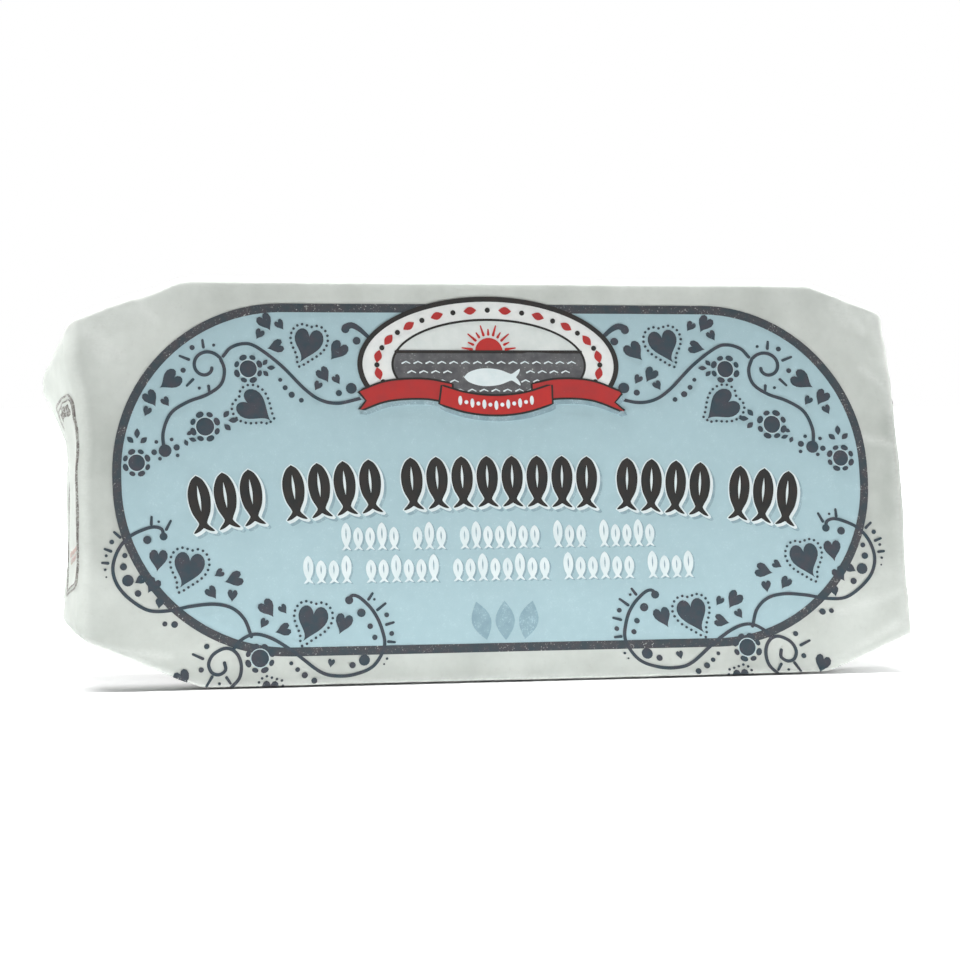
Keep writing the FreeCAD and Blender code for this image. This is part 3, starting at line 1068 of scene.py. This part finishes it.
def grime_shade_and_light(x, v, n):
    """How much darker the paper is painted at a place, paler below zero: painted shade and light
    towards the ends, a smudge, and painted contact shade along the bottom edge.
    """
    front = 1.0 - smooth((n - 1.0) / 4.0)
    side = smooth((abs(x) - 38.0) / 9.0)
    grey = 0.0
    # painted shade and painted light in broad areas towards the ends
    for way, middle, reach, amount in PAINTED_SHADE_AND_LIGHT:
        if way * x > 0:
            grey += amount * side * bump(v, middle, reach)
    smudge = ((x - SMUDGE[0]) ** 2 + ((v - SMUDGE[1]) * 0.6) ** 2) ** 0.5
    # painted contact shade: the paper darkened along its bottom edge, where it meets the floor
    painted_contact_shade = 1.0 - smooth((v + 0.1) / 0.9)
    return front * (grey + 0.9 * bump(smudge, 0.0, 2.0) + 1.4 * painted_contact_shade)


for name, amount_at in (("fold_wear_and_highlight", fold_wear_and_highlight), ("grime_shade_and_light", grime_shade_and_light)):
    values = wrapper.data.attributes.new(name, "FLOAT", "POINT")
    values.data.foreach_set("value", [amount_at(*p) for p in spots])
sheet.free()
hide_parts("wrapped_tin")


def lap(name, place, corner_spots, across, up, lift, thickness=LAP_THICK):
    """A lap of paper over a face, as a closed sheet between four spots of that face."""
    a, b, c, d = [np.array(p, float) for p in corner_spots]
    flat, lifts = [], []
    for i in range(across + 1):
        for j in range(up + 1):
            s, t = i / across, j / up
            flat.append(tuple((a * (1 - s) + b * s) * (1 - t) + (d * (1 - s) + c * s) * t))
            lifts.append(lift(s, t))
    faces = []
    for i in range(across):
        for j in range(up):
            k = i * (up + 1) + j
            faces.append([k, k + up + 1, k + up + 2, k + 1])
    tops, outs = lay_on(place, flat)
    tops = tops + outs * np.array(lifts)[:, None]
    points, faces = slab(tops, outs, faces, thickness, LAP_ROOT)
    return new_piece(name, points, faces, paper, SHARP_LAP)


ENDS = (("left", LEFT, on_end(LEFT)), ("right", RIGHT, on_end(RIGHT)))


def free_edge(reach, curl):
    """How far a lap lifts: sunk at its root, and up unevenly near its free edge."""
    def lift(s, t):
        """The lift at shares s and t of the lap's two directions."""
        wave = 0.5 + 0.5 * noise.noise(Vector((s * 5.0, 3.0, reach)))
        root = 1.0 - smooth(t / 0.14)
        return curl * smooth((t - 1 + reach) / reach) * wave - 0.2 * root
    return lift


lap("back_lap", on_back, ((-43, 46.2), (45, 46.2), (50, 27), (-50, 27)), 150, 28,
    free_edge(0.3, 0.30))
FLAP_NEAR, FLAP_FAR, TUCK_NEAR, TUCK_FAR = 1.0, 16.4, 2.6, 16.6


def end_span(end, n):
    """The lowest and the highest v of an end's flat part, at a depth."""
    taper = n * tan(LEAN) + 0.5
    low = end["bottom_cut"][1] + 0.75 * end["bottom_round"] + taper
    return low, FACE_HEIGHT - end["top_cut"][1] - 0.75 * end["top_round"] - taper


for name, end, place in ENDS:
    way = end["side"]
    for level, which, step_in in (("lower", 0, 11.0), ("upper", 1, -11.0)):
        near, far = end_span(end, TUCK_NEAR)[which], end_span(end, TUCK_FAR)[which]
        lap(f"{name}_{level}_tuck", place,
            ((way * TUCK_NEAR, near), (way * TUCK_FAR, far),
             (way * 11.5, far + step_in), (way * 7.5, near + step_in)),
            26, 20, free_edge(0.3, 0.05), TUCK_THICK)
    (low_near, high_near), (low_far, high_far) = end_span(end, FLAP_NEAR), end_span(end, FLAP_FAR)
    lap(f"{name}_end_flap", place,
        ((way * FLAP_NEAR, high_near), (way * FLAP_NEAR, low_near),
         (way * FLAP_FAR, low_far + 1.5), (way * FLAP_FAR, high_far - 1.5)),
        52, 26, free_edge(0.35, 0.25))


# ------------ the label's print

label_spots = grid_spots((-48.5, 4.2), (48.5, 47.4), 0.85)
print_ink("label_field", [panel(BORDER / 2)], 1, "pale_blue", spots=label_spots)
print_ink("label_border", [(panel(0.0), [panel(BORDER)])], 3, "slate")
ornament = both_sides(upper_ornament(), "upper") + both_sides(lower_ornament(), "lower")
print_ink("label_ornament", ornament, 4, "dark_teal",
          spots=grid_spots((-46, -2.6), (46, 2.4), 0.35))
rings = [pale_ring(*laid_out(a, v, level, side), size) for side in (-1, 1)
         for level, daisies in (("upper", UPPER_DAISIES), ("lower", LOWER_DAISIES))
         for a, v, size in daisies]
print_ink("daisy_rings", rings, 5, "light_blue")


def standing(groups, at, pitch, gap):
    """Places along a row for things that stand in groups."""
    for group in groups:
        for _ in range(group):
            yield at
            at += pitch
        at += gap


def slit_fish(tall, wide, slit_length, slit_width, x, v, tilt=0.0):
    """A standing fish as its outline and the slit that is left bare along it."""
    slit = leaf(0, 0.1 * tall, slit_length * tall, slit_width, 90)
    return turned(sardine(tall, wide), x, v, tilt), [turned(slit, x, v, tilt)]


# fish in an arch, each with a pale edge and a grey shade
GROUPS = (3, 4, 8, 4, 3)
PITCH, GROUP_GAP = 3.25, 2.1
run = sum(GROUPS) * PITCH + (len(GROUPS) - 1) * GROUP_GAP
fish, edges, shades = [], [], []
for at in standing(GROUPS, -run / 2 + PITCH / 2, PITCH, GROUP_GAP):
    x, v, tilt = arched(at, 25.1)
    fish.append(slit_fish(6.5 + 0.7 * abs(at / 38.0), 3.0, 0.46, 0.34, x, v, tilt))
    edge = grown(fish[-1][0], 0.14)
    edges += [edge, shifted(edge, 0.24, -0.2)]
    shades.append(shifted(edge, 0.55, -0.5))
print_ink("headline_shades", shades, 3, "grey_shadow")
print_ink("headline_edges", edges, 4, "white")
print_ink("headline_fish", fish, 5, "black")

# two rows of small pale fish, every third one taller: middle, width, height and groups
ROW_GAP, SMALL, TALLER = 1.5, 2.9, 3.5
ROWS = ((-0.9, 41.0, 18.0, (5, 3, 7, 3, 5)), (-0.85, 51.0, 13.9, (4, 6, 8, 6, 4)))
small_fish, small_shades = [], []
for middle, width, v, groups in ROWS:
    pitch = (width - ROW_GAP * (len(groups) - 1)) / sum(groups)
    places = standing(groups, middle - width / 2 + pitch / 2, pitch, ROW_GAP)
    for number, at in enumerate(places):
        tall = SMALL if number % 3 else TALLER
        small_fish.append(slit_fish(tall, pitch * 0.86, 0.42, 0.2, at, v + (tall - SMALL) / 2))
        small_shades.append(shifted(small_fish[-1][0], 0.22, -0.16))
print_ink("small_fish_shades", small_shades, 3, "grey_shadow")
print_ink("small_fish", small_fish, 4, "white")

# the badge: an oval frame of lozenges round a low sun, over a sea with a fish
BADGE_X, BADGE_V, BADGE_HALF_WIDTH, BADGE_HALF_HEIGHT = -1.35, 40.1, 17.1, 8.85
BADGE_EDGE, BADGE_RING_SIDE, BADGE_RING_TOP, BADGE_LINE = 0.65, 3.7, 2.2, 0.3
HORIZON = 41.8
# the ribbon hides the badge below this level
BADGE_FOOT = 35.8


def between(outline, low, high=60.0):
    """The part of a convex outline that lies between two levels."""
    return [(px, min(max(py, low), high)) for px, py in outline]


def badge_part(side_inset, top_inset, above_foot):
    """The badge's oval drawn inwards by two insets, and level at its foot."""
    rim = oval(BADGE_X, BADGE_V, BADGE_HALF_WIDTH - side_inset, BADGE_HALF_HEIGHT - top_inset,
               steps=110)
    return between(rim, BADGE_FOOT + above_foot)


RING_SIDE, RING_TOP = BADGE_EDGE + BADGE_RING_SIDE, BADGE_EDGE + BADGE_RING_TOP
badge_edge = badge_part(0.0, 0.0, 0.0)
badge_field = badge_part(BADGE_EDGE, BADGE_EDGE, 0.03)
ring_line = badge_part(RING_SIDE, RING_TOP, 0.06)
picture = badge_part(RING_SIDE + BADGE_LINE, RING_TOP + BADGE_LINE, 0.09)
badge_spots = grid_spots((BADGE_X - 17, BADGE_FOOT + 0.5), (BADGE_X + 17, 48.9), 0.8)
badge_spots = [p for p in badge_spots if well_inside(p, 0.8, 0.8)]
sea_spots = [p for p in badge_spots if BADGE_FOOT + 0.4 < p[1] < HORIZON - 0.4
             and well_inside(p, RING_SIDE + 1.0, RING_TOP + 1.0)]
print_ink("badge_edge", [(badge_edge, [badge_field]), (ring_line, [picture])], 6, "black")
print_ink("badge_ring", [(badge_field, [ring_line])], 5, "pale_cream", spots=badge_spots)
print_ink("badge_sky", [picture], 5, "sky", spots=badge_spots)
print_ink("badge_sea", [between(picture, BADGE_FOOT + 0.12, HORIZON)], 6, "grey_sea",
          spots=sea_spots)

lozenges, dots = [], []
LOZENGES = 40
for k in range(LOZENGES):
    angle = 2 * pi * k / LOZENGES
    across = (BADGE_HALF_WIDTH - BADGE_EDGE - BADGE_RING_SIDE / 2) * cos(angle)
    up = (BADGE_HALF_HEIGHT - BADGE_EDGE - BADGE_RING_TOP / 2) * sin(angle)
    spot = (BADGE_X + across, BADGE_V + up)
    if spot[1] < BADGE_FOOT + 0.6:
        continue
    if k % 2:
        along = np.degrees(np.arctan2(up * 3.2, across)) + 90
        lozenges.append(leaf(*spot, 1.7, 1.0, along))
    else:
        dots.append(oval(*spot, 0.34))
print_ink("badge_lozenges", lozenges, 7, "dark_red")
print_ink("badge_dots", dots, 7, "black")

SUN_RADIUS, SUN_RAYS = 1.8, 11
sun = [(BADGE_X + SUN_RADIUS * cos(pi * k / 20), HORIZON + SUN_RADIUS * sin(pi * k / 20))
       for k in range(21)]
rays = []
for k in range(SUN_RAYS):
    angle = pi * (k + 0.5) / SUN_RAYS
    far = 1.62 if k % 2 else 1.95
    across, up = cos(angle) * SUN_RADIUS, sin(angle) * SUN_RADIUS
    rays.append(stroke([(BADGE_X + across * 1.25, HORIZON + up * 1.25),
                        (BADGE_X + across * far, HORIZON + up * far)], 0.34, 0.16))
print_ink("badge_sun", [sun] + rays, 7, "red")
print_ink("badge_horizon", [stroke([(BADGE_X - 12.1, HORIZON), (BADGE_X + 12.1, HORIZON)], 0.4)], 8,
          "black", spots=grid_spots((BADGE_X - 12, HORIZON), (BADGE_X + 12, HORIZON), 0.8))

waves = []
for row, (v, half) in enumerate(((40.3, 11.4), (39.1, 11.0), (37.9, 10.2), (36.7, 8.6))):
    for k in range(-9, 10):
        x = k * 1.55 + (row % 2) * 0.7
        if abs(x) < half and (abs(x - 0.3) > 4.3 or not 36.9 < v < 39.9):
            crest = [(BADGE_X + x - 0.5, v), (BADGE_X + x, v + 0.24), (BADGE_X + x + 0.5, v)]
            waves.append(stroke(crest, 0.2, 0.12))
swimmer = [turned(sardine(7.4, 2.5), BADGE_X + 0.3, 38.5, 90)]
print_ink("badge_waves", waves + swimmer, 7, "white")

# the ribbon under the badge: a middle piece over two tails, with outline, shade and beads
RIBBON_TALL, RIBBON_EDGE, BEADS = 2.35, 0.26, 13
TAIL_LEFT = ((-18.3, 35.5), (-14.6, 36.75), (-10.0, 37.0), (-6.4, 36.4))
TAIL_RIGHT = ((16.2, 35.2), (12.0, 36.75), (7.6, 37.0), (4.2, 36.4))
MIDDLE = ((-8.0, 36.25), (-4.4, 35.2), (-0.7, 34.85), (3.0, 35.2), (6.6, 36.25))


def ribbon(middle_line, tall, notch, slant):
    """A ribbon's outline along its middle line, its first end notched or slanted."""
    line = smooth_line(middle_line, 0.6)
    upper, lower = shifted(line, 0.0, tall / 2), shifted(line, 0.0, -tall / 2)
    way = 1 if line[-1][0] > line[0][0] else -1
    upper[0] = (upper[0][0] + way * slant, upper[0][1])
    end = [(line[0][0] + way * notch, line[0][1])] if notch else []
    return anticlockwise(lower + upper[::-1] + end)


tails = [ribbon(TAIL_LEFT, RIBBON_TALL, 0.9, 0.0), ribbon(TAIL_RIGHT, RIBBON_TALL, 1.3, 0.3)]
middle_piece = ribbon(MIDDLE, RIBBON_TALL, 0.0, 0.4)
rims = [grown(part, RIBBON_EDGE) for part in tails + [middle_piece]]
print_ink("ribbon_shade", [shifted(rim, 0.25, -0.62) for rim in rims], 8, "grey_shadow")
print_ink("ribbon_tail_edges", rims[:2], 9, "black")
print_ink("ribbon_tails", tails, 10, "dark_red")
print_ink("ribbon_edge", rims[2:], 11, "black")
print_ink("ribbon_middle", [middle_piece], 12, "red")
beads_on_ribbon = []
for k in range(BEADS):
    x = -0.7 + (k - (BEADS - 1) / 2) * 0.78
    v = np.interp(x, *zip(*MIDDLE))
    beads_on_ribbon.append(oval(x, v, 0.26, 0.26 if k % 2 else 0.6))
print_ink("ribbon_beads", beads_on_ribbon, 13, "white")

# three pale grey leaves
leaves = [turned(leaf(0, 0, 5.0, 2.5, 90), x, 7.4, tilt)
          for x, tilt in ((-3.7, 14), (-0.65, 0), (2.4, -14))]
print_ink("grey_leaves", leaves, 3, "grey_blue")


# ------------ print on the ends and the back

def row_of_grains(middle, v, length, tall, pitch):
    """A row of upright grains, every third one shorter."""
    count = int(length / pitch)
    return [oval(middle + (k - (count - 1) / 2) * pitch, v, pitch * 0.26,
                 tall * (0.6 if k % 3 else 0.5), steps=10) for k in range(count)]


def rows_of_grains(middle, rows, tall, pitch):
    """Several rows of grains, each given as its height and length."""
    return [grain for v, length in rows for grain in row_of_grains(middle, v, length, tall, pitch)]


CARTOUCHE_V, CARTOUCHE_WIDE, CARTOUCHE_TALL = 25.2, 6.2, 12.2
for name, end, place in ENDS:
    middle = end["side"] * 7.6
    outline, inside, outer_line, inner_line = (
        rounded_box(middle, CARTOUCHE_V, CARTOUCHE_WIDE - by, CARTOUCHE_TALL - by, 2.2 - by)
        for by in (0.0, 0.2, 0.62, 0.76))
    marks = rows_of_grains(middle, ((35.9, 7.6), (35.2, 8.8)), 0.62, 0.5)
    print_ink(f"{name}_end_cartouche", [(outline, [inside]), (outer_line, [inner_line])] + marks,
              12, "soft_grey", place)
    rosy = rows_of_grains(middle, ((18.2, 9.2), (17.2, 7.6)), 0.6, 0.9)
    print_ink(f"{name}_end_rosy_marks", rosy, 12, "rosy", place)

BACK_V, BACK_WIDE, BACK_TALL = 15.4, 44.0, 8.6
back_outer = rounded_box(0.0, BACK_V, BACK_WIDE, BACK_TALL, 5.0)
back_inner = rounded_box(0.0, BACK_V, BACK_WIDE - 0.8, BACK_TALL - 0.8, 4.2)
print_ink("back_border", [(back_outer, [back_inner])], 3, "slate", on_back)
print_ink("back_field", [back_inner], 2, "pale_blue", on_back,
          grid_spots((-43.0, 7.8), (43.0, 23.2), 1.1))
back_rows = ((19.6, 70.0), (16.8, 76.0), (14.0, 72.0), (11.2, 60.0))
print_ink("back_grains", rows_of_grains(0.0, back_rows, 1.2, 1.15), 4, "slate", on_back)


# ------------ floor, light and camera

# FLOOR_NEAR is the darker colour the floor is seen with where its glow paints light over the pack's
# shadow
FLOOR_MATT, FLOOR_NEAR = (0.86, 0.87, 0.87, 1.0), (0.50, 0.51, 0.51, 1.0)
WHITE = (1.0, 1.0, 1.0, 1.0)
# the white glow of the floor that is seen: at the pack's foot, round it and far from it
CONTACT_LIFT, NEAR_LIFT, FAR_LIFT = 0.0, 0.80, 1.0
LIFT_FROM, LIFT_TO = 0.06, 0.20
# where the floor that is seen turns paler, with painted light over the pack's shadow: from the
# label's foot backwards, and to both sides
PALER_BACK, PALER_SIDE, SIDE_SHIFT = (0.0015, 0.0085), (0.042, 0.060), 0.003
# half the floor's width, and how strongly the world lights the pack
FLOOR_HALF, FILL = 3.0, 0.22


def seen_directly(tree):
    """1 for the camera and for what it sees by reflection or through glass."""
    path = add(tree, "LightPath").outputs
    return reckon(tree, "MAXIMUM", path["Is Camera Ray"],
                  reckon(tree, "MAXIMUM", path["Is Glossy Ray"], path["Is Transmission Ray"]))


def floor_material():
    """A matt white floor that looks white, but for the pack's contact shadow; behind the label's
    foot and beside it, a glow seen by the camera paints light over the pack's shadow.
    """
    material = bpy.data.materials.new("white_floor")
    tree = empty_tree(material)
    matt = add(tree, "BsdfDiffuse", None, Color=FLOOR_MATT, Roughness=1.0).outputs[0]
    spot = add(tree, "NewGeometry").outputs["Position"]
    along = add(tree, "SeparateXYZ", None, Vector=spot).outputs
    # painted light: behind the label's foot and to the sides, the floor that is seen glows over the
    # pack's shadow
    behind = spread(tree, along["Y"], cad_low.y + PALER_BACK[0], cad_low.y + PALER_BACK[1])
    off_middle = reckon(tree, "ABSOLUTE", reckon(tree, "ADD", along["X"], SIDE_SHIFT))
    paler = reckon(tree, "MAXIMUM", behind, spread(tree, off_middle, *PALER_SIDE))
    matt_seen = add(tree, "BsdfDiffuse", None, Roughness=1.0,
                    Color=blend(tree, paler, FLOOR_MATT, FLOOR_NEAR)).outputs[0]
    away = add(tree, "VectorMath", dict(operation="LENGTH"))
    feed(tree, away.inputs[0], spot)
    lift = reckon(tree, "MAXIMUM", spread(tree, paler, 0.0, 1.0, CONTACT_LIFT, NEAR_LIFT),
                  spread(tree, away.outputs["Value"], LIFT_FROM, LIFT_TO, 0.0, FAR_LIFT))
    glow = add(tree, "Emission", None, Color=WHITE, Strength=lift).outputs[0]
    lifted = add_in_order(tree, "AddShader", None, matt_seen, glow)
    choice = add_in_order(tree, "MixShader", None, seen_directly(tree), matt, lifted)
    feed(tree, add(tree, "OutputMaterial").inputs[0], choice)
    return material


def make_floor():
    """A wide floor under the pack."""
    mesh = bmesh.new()
    bmesh.ops.create_grid(mesh, x_segments=40, y_segments=40, size=FLOOR_HALF)
    data = bpy.data.meshes.new("floor")
    mesh.to_mesh(data)
    mesh.free()
    data.materials.append(floor_material())
    put("floor", data)


def make_world():
    """A world that looks white and lights the pack less than that."""
    world = bpy.data.worlds.new("white_room")
    bpy.context.scene.world = world
    tree = empty_tree(world)
    strength = spread(tree, seen_directly(tree), 0.0, 1.0, FILL, 1.0)
    sky = add(tree, "Background", None, Color=WHITE, Strength=strength).outputs[0]
    feed(tree, add(tree, "OutputWorld").inputs[0], sky)


def stand_and_look(thing, spot, look):
    """A lamp or camera at a spot, looking a way."""
    thing.location = spot
    thing.rotation_mode = "QUATERNION"
    thing.rotation_quaternion = look.to_track_quat("-Z", "Y")


def softbox(name, spot, size, power, aim=(0.0, 0.0, 0.0)):
    """A lamp of a width and a depth that faces a spot."""
    data = bpy.data.lights.new(name, "AREA")
    data.shape = "RECTANGLE"
    data.size, data.size_y = size
    data.energy = power
    stand_and_look(put(name, data), spot, Vector(aim) - Vector(spot))


def make_camera():
    """The camera, before the label and a little to its left."""
    data = bpy.data.cameras.new("camera")
    data.sensor_width = 36.0
    data.lens = LENS
    data.clip_start, data.clip_end = 0.02, 20.0
    camera = put("camera", data)
    heading, down = radians(CAMERA_HEADING), radians(CAMERA_DOWN)
    stand_and_look(camera,
                   (cad_low.x + CAMERA_ASIDE * MM, cad_low.y - CAMERA_BACK * MM, CAMERA_UP * MM),
                   Vector((sin(heading) * cos(down), cos(heading) * cos(down), -sin(down))))
    bpy.context.scene.camera = camera


LENS = 103.1
CAMERA_ASIDE, CAMERA_BACK, CAMERA_UP = -24.42, 334.93, 38.29
CAMERA_HEADING, CAMERA_DOWN = 12.96, 2.14

make_floor()
make_world()
# the top light hangs in the plane of the label, so the label is lit by the floor before it
TOP_LIGHT_UP = 0.20
top_light_back = cad_low.y + TOP_LIGHT_UP * tan(LEAN)
softbox("top_light", (0.0, top_light_back, TOP_LIGHT_UP), (0.30, 0.03), 1.7,
        (0.0, top_light_back, 0.0))
softbox("left_light", (-0.60, -0.30, 0.20), (0.5, 0.5), 0.25)
softbox("right_light", (0.60, -0.25, 0.20), (0.5, 0.5), 0.30)
make_camera()
bpy.context.scene.view_settings.view_transform = "Standard"
